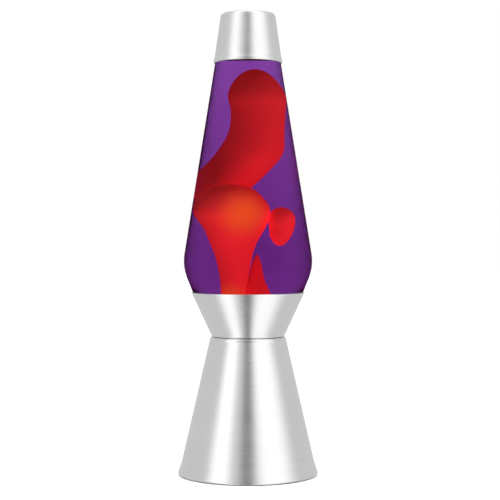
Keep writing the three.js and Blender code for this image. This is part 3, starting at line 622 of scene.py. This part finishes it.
def build_closure():
    radius, low, high = reach("crown_closure")
    sheet = 0.4
    skirt = 14.0
    top = [(0, high), (skirt - 0.8, high, 1.0), (skirt, high - 1.4, 1.5), (radius - 1.7, low + 1.5, 1),
           (radius - 0.3, low, 0.3)]
    under = inset(top, sheet)
    under[0] = (0, under[0][1])
    points = outline(top) + outline(under)[::-1]

    def flutes(angle, r, z):
        depth = 0.5 * max(0, min(1, (high - 1.0 - z) / (high - low - 1.0)))
        return r - depth * (1 - (0.5 + 0.5 * math.cos(21 * angle)) ** 0.7)

    crown = lathe("crown", points, 336, flutes, 50)
    settle(crown, TINPLATE, "tinplate", "globe", "crown_closure")
    liner_radius, liner_low, liner_high = reach("closure_liner")
    liner = lathe("liner_disc", outline([(0, liner_low), (liner_radius, liner_low, 0.12),
                                         (liner_radius, liner_high, 0.12), (0, liner_high)]), 96)
    settle(liner, LINER, "liner", "globe", "closure_liner")


def build_coil():
    """The heat coil: spring wire wound round a ring."""
    outer, low, _ = reach("heat_coil")
    coil_radius, wire_radius = 2.1, 0.45
    wound = coil_radius - wire_radius
    ring_radius = outer - coil_radius
    turns, steps = 74, 10
    points = []
    for k in range(turns * steps):
        around = TURN * k / (turns * steps)
        spin = TURN * k / steps
        r = ring_radius + wound * math.cos(spin)
        z = low + coil_radius + wound * math.sin(spin)
        points.append((r * math.cos(around), r * math.sin(around), z))
    settle(wire("coil_wire", points, wire_radius, 8, True), STEEL, "steel", "globe", "heat_coil")


# ---------------------------------------------------------------- wax

# [share of the liquid's height, x, y, radius] from the bottom up, sizes in mm
RISING_COLUMN = [(0.015, -11, -5, 0), (0.047, -11, -5, 9.5), (0.12, -11, -5, 8.8), (0.214, -10, -5, 11.2),
                 (0.297, -10.8, -6, 17), (0.36, -10.5, -8, 23.5), (0.422, -14, -8.5, 30.4),
                 (0.471, -16, -10, 26.5), (0.503, -15.5, -10, 18), (0.518, -14.5, -10, 0)]
REAR_MOUND = [(0.005, 2, 13, 0), (0.047, 2, 13, 17), (0.12, 3, 14, 13.4), (0.158, 4.4, 15, 9.6),
              (0.193, 5.2, 16, 6.2), (0.235, 5.6, 16, 3.4), (0.259, 5.8, 16, 0)]
UPPER_BLOB = [(0.446, -19, 16, 0), (0.49, -19.5, 16, 19.5), (0.572, -7.4, 11, 22.3), (0.632, 0.8, 8, 22),
              (0.711, 5.5, 5, 18.8), (0.791, 6.8, 3, 18.8), (0.847, 6.3, 2, 20.2), (0.902, 5, 2, 14.8),
              (0.946, 5, 2, 0)]
DROPLET = [(0.288, 23, -5, 0), (0.323, 23.6, -5, 7.9), (0.351, 24.6, -5, 9.4), (0.381, 25, -6, 10.5),
           (0.407, 24.8, -6, 9.7), (0.433, 24.6, -6, 0)]


def between(stations, place):
    """Stations smoothly joined: the values at a place from 0 to one less than their count."""
    last = len(stations) - 1
    i = min(int(place), last - 1)
    t = place - i
    p0, p1, p2, p3 = (stations[max(0, min(last, i + k))] for k in (-1, 0, 1, 2))
    return [0.5 * (2 * b + (c - a) * t + (2 * a - 5 * b + 4 * c - d) * t * t
                   + (3 * b - a - 3 * c + d) * t ** 3)
            for a, b, c, d in zip(p0, p1, p2, p3)]


def blob_bmesh(stations):
    """A round body whose middle wanders. Its squared radius is what flows, so its ends come out round."""
    segments, levels = 64, 160
    span = LIQUID_TOP - LIQUID_FLOOR
    last = len(stations) - 1
    flow = [(share, x, y, r * r) for share, x, y, r in stations]
    points, centres = [], []
    for k in range(levels + 1):
        share, x, y, square = between(flow, last * k / levels)
        radius = math.sqrt(max(0.01, square)) if 0 < k < levels else 0
        points.append(Vector((radius, LIQUID_FLOOR + share * span)))
        centres.append((x, y))
    bm = lathe_bmesh(points, segments)
    heights = [p.y for p in points]
    for vertex in bm.verts:
        k = min(range(len(heights)), key=lambda j: abs(heights[j] - vertex.co.z))
        vertex.co.x += centres[k][0]
        vertex.co.y += centres[k][1]
    return bm


def globe_inside():
    """Heights and radii of the bottle's inner wall, less a film of liquid, above its heel."""
    body = outline(bottle_body(WALL + FILM, FLOOR + FILM, INNER_NECK))
    wall = [p for p in body if p.x > 26]
    wall.sort(key=lambda p: p.y)
    return wall


def wall_radius(wall, z):
    for low, high in zip(wall, wall[1:]):
        if low.y <= z <= high.y and high.y > low.y:
            return low.x + (high.x - low.x) * (z - low.y) / (high.y - low.y)
    return wall[0].x if z < wall[0].y else wall[-1].x


def soften(name, parts, voxel=1.5):
    """Joins overlapping closed parts into one flowing surface."""
    whole = bmesh.new()
    for part in parts:
        mesh = bpy.data.meshes.new("part")
        part.to_mesh(mesh)
        part.free()
        whole.from_mesh(mesh)
        bpy.data.meshes.remove(mesh)
    piece = make_object(name, whole, 0)
    remesh = piece.modifiers.new("remesh", "REMESH")
    remesh.mode = "VOXEL"
    remesh.voxel_size = voxel * MM
    smooth = piece.modifiers.new("smooth", "SMOOTH")
    smooth.iterations = 14
    smooth.factor = 0.5
    bpy.context.view_layer.update()
    mesh = bpy.data.meshes.new_from_object(piece.evaluated_get(bpy.context.evaluated_depsgraph_get()))
    piece.modifiers.clear()
    piece.data = mesh
    for polygon in mesh.polygons:
        polygon.use_smooth = True
    return piece


def keep_inside(piece, avoid=None):
    """Keeps wax off the glass by a film of liquid, and off the rising column by a thinner one."""
    wall = globe_inside()
    floor = LIQUID_FLOOR + 0.5
    span = LIQUID_TOP - LIQUID_FLOOR
    for vertex in piece.data.vertices:
        x, y, z = vertex.co / MM
        if avoid:
            share = (z - LIQUID_FLOOR) / span
            for a, b in zip(avoid, avoid[1:]):
                if a[0] <= share <= b[0]:
                    t = (share - a[0]) / (b[0] - a[0])
                    cx, cy = (a[i] + (b[i] - a[i]) * t for i in (1, 2))
                    near = between(avoid, avoid.index(a) + t)[3] + 0.5
                    away = math.hypot(x - cx, y - cy)
                    if away < near:
                        x = cx + (x - cx) * near / max(away, 0.1)
                        y = cy + (y - cy) * near / max(away, 0.1)
        radius = math.hypot(x, y)
        most = wall_radius(wall, z)
        if radius > most:
            x, y = x * most / radius, y * most / radius
        vertex.co = Vector((x, y, max(z, floor))) * MM


def build_wax():
    top = LIQUID_FLOOR + 0.06 * (LIQUID_TOP - LIQUID_FLOOR)
    body = bottle_body(WALL + FILM, FLOOR + FILM, INNER_NECK)
    room = [corner for corner in body if corner[1] < CUP_RIM - 5]
    (r1, z1), (r2, z2) = room[-1][:2], body[len(room)][:2]
    edge = r1 + (r2 - r1) * (top - z1) / (z2 - z1)
    pool = lathe_bmesh(outline(room + [(edge, top, 3), (edge * 0.5, top + 2, 30), (0, top + 7)], 0.05), 96)
    mass = soften("wax_rising", [pool, blob_bmesh(RISING_COLUMN), blob_bmesh(REAR_MOUND)])
    keep_inside(mass)
    settle(mass, WAX, "wax", "globe", "wax_mass")
    upper = soften("wax_long_blob", [blob_bmesh(UPPER_BLOB)])
    keep_inside(upper, RISING_COLUMN)
    settle(upper, WAX, "wax", "globe", "wax_upper_blob")
    drop = soften("wax_small_drop", [blob_bmesh(DROPLET)], 1.0)
    keep_inside(drop, RISING_COLUMN)
    settle(drop, WAX, "wax", "globe", "wax_droplet")


# ---------------------------------------------------------------- fasteners

def cross_tool(z_top, depth):
    """A cross-shaped tool for a screw's recess."""
    arm, half = 1.7, 0.35
    quarter = [(arm, -half), (arm, half), (half, half)]
    points = []
    for k in range(4):
        cos, sin = (1, 0, -1, 0)[k], (0, 1, 0, -1)[k]
        points += [(px * cos - py * sin, px * sin + py * cos) for px, py in quarter]
    bm = bmesh.new()
    rings = [[bm.verts.new((px, py, z)) for px, py in points] for z in (z_top - depth, z_top + depth)]
    bm.faces.new(rings[0][::-1])
    bm.faces.new(rings[1])
    for k in range(len(points)):
        n = (k + 1) % len(points)
        bm.faces.new((rings[0][k], rings[0][n], rings[1][n], rings[1][k]))
    return make_object("recess", bm, 30)


def screw_solid(name, head_height, head=2.9, shank=1.3, length=6.3):
    """A pan-head screw pointing up, with a rolled thread and a cross recess. Its head's underside is at 0."""
    pitch, wave, recess = 0.5, 0.09, 0.7
    rows = [Vector((shank, length * k / 100)) for k in range(8, 97)]
    points = outline([(0, -head_height), (head - 0.9, -head_height, 1.2), (head, -head_height * 0.35, 0.5),
                      (head, 0, 0.15), (shank, 0), (shank, length * 0.08)]) + rows + [Vector((0, length))]

    def thread(angle, r, z):
        if length * 0.09 < z < length * 0.95 and r < shank + 0.01:
            return r - wave + wave * math.cos(TURN * z / pitch - angle)
        return r

    solid = lathe(name, points, 32, thread)
    return cut(solid, cross_tool(-head_height, recess))


def build_screws():
    head_height = 1.2
    for node in [f"plate_screw_{i}" for i in range(1, 4)] + [f"lampholder_screw_{i}" for i in (1, 2)]:
        spot, (low, high) = middle(node), height(node)
        piece = screw_solid(node + "_real", head_height, length=high - low - head_height)
        settle(moved(piece, spot.x, spot.y, low + head_height), STEEL, "steel", "lamp_base", node)
    for i in range(1, 4):
        node = f"plate_nut_{i}"
        spot, (low, high) = middle(node), height(node)
        loops = [circle(3.1, spot.x, spot.y, 6), circle(1.62, spot.x, spot.y, 32)]
        settle(flat_sheet(node + "_real", loops, low, high, 0.2), STEEL, "steel", "lamp_base", node)
    for i in (1, 2):
        node = f"terminal_screw_{i}"
        low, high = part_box(node)
        spot = (low + high) / 2 / MM
        out = 1 if spot.y > 0 else -1
        tip, head = (low.y / MM, high.y / MM) if out > 0 else (high.y / MM, low.y / MM)
        piece = screw_solid(node + "_real", head_height, length=abs(head - tip) - head_height)
        moved(piece, spot.x, head - out * head_height, spot.z, Euler((out * math.pi / 2, 0, 0)))
        settle(piece, BRASS, "brass", "lamp_base", node)


def rivet(node, material, slot, shank=1.4, head=2.45, head_height=1.15):
    """A rivet with a round head at each end."""
    spot, (low, high) = middle(node), height(node)
    points = outline([(0, low), (head * 0.6, low, 1.2), (head, low + head_height * 0.6, 0.8),
                      (head, low + head_height, 0.1), (shank, low + head_height), (shank, high - head_height),
                      (head, high - head_height, 0.1), (head, high - head_height * 0.6, 0.8),
                      (head * 0.6, high, 1.2), (0, high)])
    piece = moved(lathe(node + "_real", points, 48), spot.x, spot.y)
    settle(piece, material, slot, "lamp_base", node)


# ---------------------------------------------------------------- underside and lampholder

def build_underside():
    radius, low, high = reach("bottom_plate")
    loops = [circle(radius, sides=160)]
    vents, vent_inner, vent_outer, half = 8, 33, 45, 2.25
    slot = []
    for centre, start in ((vent_outer, -0.5), (vent_inner, 0.5)):
        turns = [math.pi * (j / 10 + start) for j in range(11)]
        slot += [(centre + half * math.cos(t), half * math.sin(t)) for t in turns]
    for k in range(vents):
        angle = TURN * (k + 0.5) / vents
        cos, sin = math.cos(angle), math.sin(angle)
        loops.append([(px * cos - py * sin, px * sin + py * cos) for px, py in slot])
    for i in range(1, 4):
        spot = middle(f"plate_screw_{i}")
        loops.append(circle(1.65, spot.x, spot.y, 32))
    for i in (1, 2):
        spot = middle(f"bracket_rivet_{i}")
        loops.append(circle(1.75, spot.x, spot.y, 32))
    plate = flat_sheet("bottom_plate_real", loops, low, high)
    settle(plate, BLACK_PAINT, "black_steel", "lamp_base", "bottom_plate")
    for i in range(1, 5):
        node = f"foot_{i}"
        spot, (low, high) = middle(node), height(node)
        points = outline([(0, low + 0.25), (3.2, low + 0.25, 0.4), (3.6, low, 0.3), (5.2, low, 0.8),
                          (6, low + 1, 1), (6, high, 0.2), (0, high)])
        settle(moved(lathe(node + "_real", points, 64), spot.x, spot.y), RUBBER, "rubber", "lamp_base", node)
    for i in range(1, 4):
        rivet(f"waist_rivet_{i}", ALUMINIUM, "aluminium")
    for i in (1, 2):
        rivet(f"bracket_rivet_{i}", STEEL, "steel", head_height=0.88)


def build_lampholder():
    radius, low, high = reach("lampholder_body")
    floor = low + 6.5
    points = outline([(0, low), (radius - 2, low, 1.5), (radius, low + 4, 3), (radius, high - 9, 1),
                      (radius - 0.7, high - 8.4, 0.8), (radius - 0.7, high - 6.8, 0.8),
                      (radius, high - 6.2, 1),
                      (radius, high, 1.6), (15.2, high, 1.2), (15.2, floor, 0.8), (0, floor)])
    body = lathe("lampholder_porcelain", points, 128)
    tools = []
    for i in (1, 2):
        spot = middle(f"lampholder_screw_{i}")
        drill = outline([(0, low - 1), (1.6, low - 1), (1.6, low + 4.8), (0, low + 4.8)])
        tools.append(moved(lathe("drill", drill, 32), spot.x, spot.y))
        spot = middle(f"terminal_screw_{i}")
        out = 1 if spot.y > 0 else -1
        drill = outline([(0, -4.8), (1.6, -4.8), (1.6, 3), (0, 3)])
        turn = Euler((-out * math.pi / 2, 0, 0))
        tools.append(moved(lathe("drill", drill, 32), 0, out * radius, spot.z, turn))
    cut(body, *tools)
    settle(body, PORCELAIN, "porcelain", "lamp_base", "lampholder_body")

    _, low, high = reach("screw_shell")
    bore = THREAD["mean"] + THREAD["clearance"]
    rows = [low + (high - low) * k / 100 for k in range(101)]
    points = [Vector((bore + 0.5, z)) for z in rows] + [Vector((bore, z)) for z in rows[::-1]]
    shell = lathe("threaded_shell", points, 72, lambda a, r, z: threaded(a, r, z, low, high))
    settle(shell, BRASS, "brass", "lamp_base", "screw_shell")

    heel, foot, deck = reach("socket_bracket")
    toe, bend = heel - 8, heel - 12
    corners = [(-heel, foot), (-toe, foot, 1), (-bend, deck - PLATE, 2.2), (bend, deck - PLATE, 2.2),
               (toe, foot, 1), (heel, foot)]
    bracket = strap("bent_bracket", corners, PLATE, 22, 0.15)
    tools = []
    for node, radius in (("lampholder_screw", 1.6), ("bracket_rivet", 1.7)):
        for i in (1, 2):
            drill = outline([(0, foot - 1), (radius, foot - 1), (radius, deck + 1), (0, deck + 1)])
            tools.append(moved(lathe("drill", drill, 32), middle(f"{node}_{i}").x))
    cut(bracket, *tools)
    settle(bracket, STEEL, "steel", "lamp_base", "socket_bracket")
    thickness = 0.6
    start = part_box("centre_contact")[0].x / MM
    low, high = height("centre_contact")
    crest = high - thickness
    leaf = [(start, low), (-3.3, low, 2), (-1.5, crest, 1), (2.5, crest, 1), (4, crest - 0.8)]
    tongue = strap("contact_tongue", leaf, thickness, 6, 0.12)
    settle(tongue, BRASS, "brass", "lamp_base", "centre_contact")


def threaded(angle, radius, z, low, high):
    """A point of a right-handed round thread, which fades out at its two ends."""
    fade = max(0, min(1, (z - low) / THREAD["pitch"], (high - z) / THREAD["pitch"]))
    return radius + THREAD["wave"] * fade * math.cos(TURN * z / THREAD["pitch"] - angle)


def build_grommet():
    outer = SHEET / 2 + GAP
    inner = outer + 0.6
    corners = [(4.2, -inner - 1.5), (7.4, -inner - 1.5, 0.6), (7.4, -inner, 0.3), (5.8, -inner), (5.8, outer),
               (8.2, outer, 0.3), (7.7, outer + 1.5, 1.1), (4.2, outer + 1.5)]
    bore = [(4.2, outer + 1.5), (4.2, outer + 1.5), (4.2, -inner - 1.5)]
    points = outline(corners) + outline(bore)[1:-1]
    piece = lathe("cord_inlet_grommet", points, 96)
    moved(piece, 0, inlet_radius(), 20.0, Euler((inlet_tilt(), 0, 0)))
    settle(piece, RUBBER, "rubber", "lamp_base", "cord_grommet")


# ---------------------------------------------------------------- bulb

def build_bulb():
    radius, neck_low, top = reach("bulb_glass")
    _, cap_low, cap_top = reach("bulb_cap")
    centre = top - radius
    widen = cap_top + 3
    belly = [(10.6, neck_low), (11.1, max(widen, centre - 32.5), 26), (radius, centre - 7.8, 30),
             (radius, top, radius), (0, top)]
    inside = inset(belly, 0.8)
    inside[-1] = (0, inside[-1][1])
    glass = lathe("bulb_envelope", outline(belly) + outline(inside)[::-1], 96, sharp=60)
    settle(glass, LAMP_GLASS, "bulb_glass", "bulb", "bulb_glass")

    _, low, high = reach("bulb_stem")
    stem = outline([(0, low), (8.6, low, 0.5), (3, low + 8, 5), (3, high - 2, 1.5), (1.4, high, 0.6),
                    (0, high)])
    settle(lathe("glass_stem", stem, 64, sharp=60), LAMP_GLASS, "bulb_glass", "bulb", "bulb_stem")

    for i, side in ((1, -1), (2, 1)):
        low, high = height(f"bulb_lead_{i}")
        stations = [(side, 0, low), (side * 4, 0, low + 4.7), (side * 8.5, 0, low + 11.7),
                    (side * 9, 0, high)]
        points = [between(stations, 3 * k / 36) for k in range(37)]
        settle(wire(f"lead_wire_{i}", points, 0.4, 8), STEEL, "steel", "bulb", f"bulb_lead_{i}")
    low, high = height("bulb_filament")
    points = []
    turns, steps = 46, 8
    for k in range(turns * steps + 1):
        t = 2 * k / (turns * steps) - 1
        spin = TURN * k / steps
        points.append((t * 8.9, 0.42 * math.cos(spin), low + 0.7 + 1.3 * (1 - t * t) + 0.42 * math.sin(spin)))
    settle(wire("filament_coil", points, 0.11, 4), TUNGSTEN, "steel", "bulb", "bulb_filament")

    thread_top = cap_top - 2.2
    bore = THREAD["mean"] - THREAD["wave"] - 0.4
    rows = [cap_low + (thread_top - cap_low) * k / 100 for k in range(101)]
    points = [Vector((THREAD["mean"], z)) for z in rows]
    points += outline([(THREAD["mean"], thread_top), (THREAD["mean"], cap_top, 0.3), (bore, cap_top, 0.3),
                       (bore, cap_low)])[1:]

    def cap_thread(angle, r, z):
        return threaded(angle, r, z, cap_low, thread_top) if r > bore + 0.2 else r

    settle(lathe("threaded_cap", points, 72, cap_thread), BRASS, "brass", "bulb", "bulb_cap")
    radius, low, high = reach("bulb_insulator")
    points = outline([(0, low), (5.6, low, 0.4), (radius, high - 0.8, 0.8), (radius, high, 0.4), (0, high)])
    settle(lathe("insulator_disc", points, 64), INSULATOR, "insulator", "bulb", "bulb_insulator")
    radius, low, high = reach("bulb_contact")
    points = outline([(0, low), (radius - 2, low, 2.2), (radius, high, 0.3), (0, high)])
    settle(lathe("solder_tip", points, 64), SOLDER, "solder", "bulb_axis", "bulb_contact")


# ---------------------------------------------------------------- stage, light and camera

def build_stage():
    bm = bmesh.new()
    bmesh.ops.create_circle(bm, cap_ends=True, radius=9000, segments=96)
    floor = make_object("floor", bm, 0)
    material, tree, shader, _ = new_material("pale floor")
    place = add_node(tree, "TexCoord").outputs["Object"]
    grain = add_node(tree, "TexNoise", {"Vector": place, "Scale": 5, "Detail": 3}).outputs[0]
    tree.links.new(tint(tree, grain, (0.93, 0.93, 0.93), (0.95, 0.95, 0.95)), shader.inputs["Base Color"])
    shader.inputs["Roughness"].default_value = 0.9
    shader.inputs["Specular IOR Level"].default_value = 0.1
    floor.data.materials.append(material)
    floor.visible_glossy = False
    floor.visible_transmission = False


def panel(tree, azimuth, centre, half, soft):
    """A tall soft panel of light in the studio: 1 inside half of its width from its centre, in degrees."""
    away = math_node(tree, "ABSOLUTE", math_node(tree, "SUBTRACT", azimuth, math.radians(centre)))
    return add_node(tree, "MapRange", {"Value": away, "From Min": math.radians(half + soft),
                                       "From Max": math.radians(half), "To Min": 0, "To Max": 1},
                    interpolation_type="SMOOTHSTEP").outputs[0]


def build_studio():
    """A studio of soft light: two tall panels with a dark gap between them in front, a grey surround, a
    bright ceiling, and a lit backdrop for what shows through glass. Mirror reflections on glass are dimmed
    and tinted by the lamp's own glow, as a polarising filter would leave them. The camera sees white."""
    world = bpy.data.worlds.new("studio")
    bpy.context.scene.world = world
    world.use_nodes = True
    tree = world.node_tree
    tree.nodes.clear()
    path = add_node(tree, "LightPath")
    direction = add_node(tree, "TexCoord").outputs["Generated"]
    x, y, z = add_node(tree, "SeparateXYZ", {0: direction}).outputs
    azimuth = math_node(tree, "ARCTAN2", x, math_node(tree, "MULTIPLY", y, -1))
    left = panel(tree, azimuth, -51, 7, 22)
    right = panel(tree, azimuth, 47, 12, 38)
    gap = panel(tree, azimuth, 0, 4.5, 17)
    behind = math_node(tree, "SUBTRACT", math.pi, math_node(tree, "ABSOLUTE", azimuth))
    backdrop = add_node(tree, "MapRange", {"Value": behind, "From Min": math.radians(64),
                                           "From Max": math.radians(12), "To Min": 0, "To Max": 1},
                        interpolation_type="SMOOTHSTEP").outputs[0]
    above = add_node(tree, "MapRange", {"Value": z, "From Min": 0.72, "From Max": 0.9},
                     interpolation_type="SMOOTHSTEP").outputs[0]
    level = math_node(tree, "ADD", 0.64, math_node(tree, "MULTIPLY", left, 0.64))
    level = math_node(tree, "ADD", level, math_node(tree, "MULTIPLY", right, 0.58))
    level = math_node(tree, "SUBTRACT", level, math_node(tree, "MULTIPLY", gap, 0.43))
    ceiling = spread(tree, path.outputs["Is Glossy Ray"], 2.4, 0.3)
    level = math_node(tree, "ADD", level, math_node(tree, "MULTIPLY", above, ceiling))
    through = math_node(tree, "ADD", 1.1, math_node(tree, "MULTIPLY", backdrop, 0.8))
    mirrored = math_node(tree, "MINIMUM", 1, path.outputs["Glossy Depth"])
    through = math_node(tree, "MULTIPLY", through, spread(tree, mirrored, 1, 0.04))
    sharp = math_node(tree, "MULTIPLY", path.outputs["Is Glossy Ray"], path.outputs["Is Singular Ray"])
    sharp = math_node(tree, "MULTIPLY", sharp, spread(tree, path.outputs["Is Transmission Ray"], 1, 0))
    level = math_node(tree, "MULTIPLY", level, spread(tree, sharp, 1, 0.2))
    level = add_node(tree, "Mix", {0: path.outputs["Is Transmission Ray"], 2: level, 3: through}).outputs[0]
    colour = tint(tree, sharp, (1, 1, 1), (0.6, 0.03, 0.35))
    studio = add_node(tree, "Background", {"Color": colour, "Strength": level})
    plain = add_node(tree, "Background", {"Color": (1, 1, 1, 1), "Strength": 1.0})
    mix = add_node(tree, "MixShader", {0: path.outputs["Is Camera Ray"], 1: studio.outputs[0],
                                       2: plain.outputs[0]})
    add_node(tree, "OutputWorld", {"Surface": mix.outputs[0]})


def build_camera():
    distance, eye = 1.296, 0.2195
    data = bpy.data.cameras.new("camera")
    data.lens = 99.4
    data.sensor_width = 36
    data.shift_x = 0.004
    data.shift_y = -0.02
    camera = bpy.data.objects.new("camera", data)
    camera.location = (0, -distance, eye)
    camera.rotation_euler = (math.pi / 2, 0, 0)
    bpy.context.scene.collection.objects.link(camera)
    bpy.context.scene.camera = camera
    bpy.context.scene.view_settings.view_transform = "Standard"


build_camera()
build_studio()
build_stage()
build_lower_cone()
build_upper_cone()
build_cap()
build_globe()
build_closure()
build_coil()
build_wax()
build_screws()
build_underside()
build_lampholder()
build_grommet()
build_bulb()
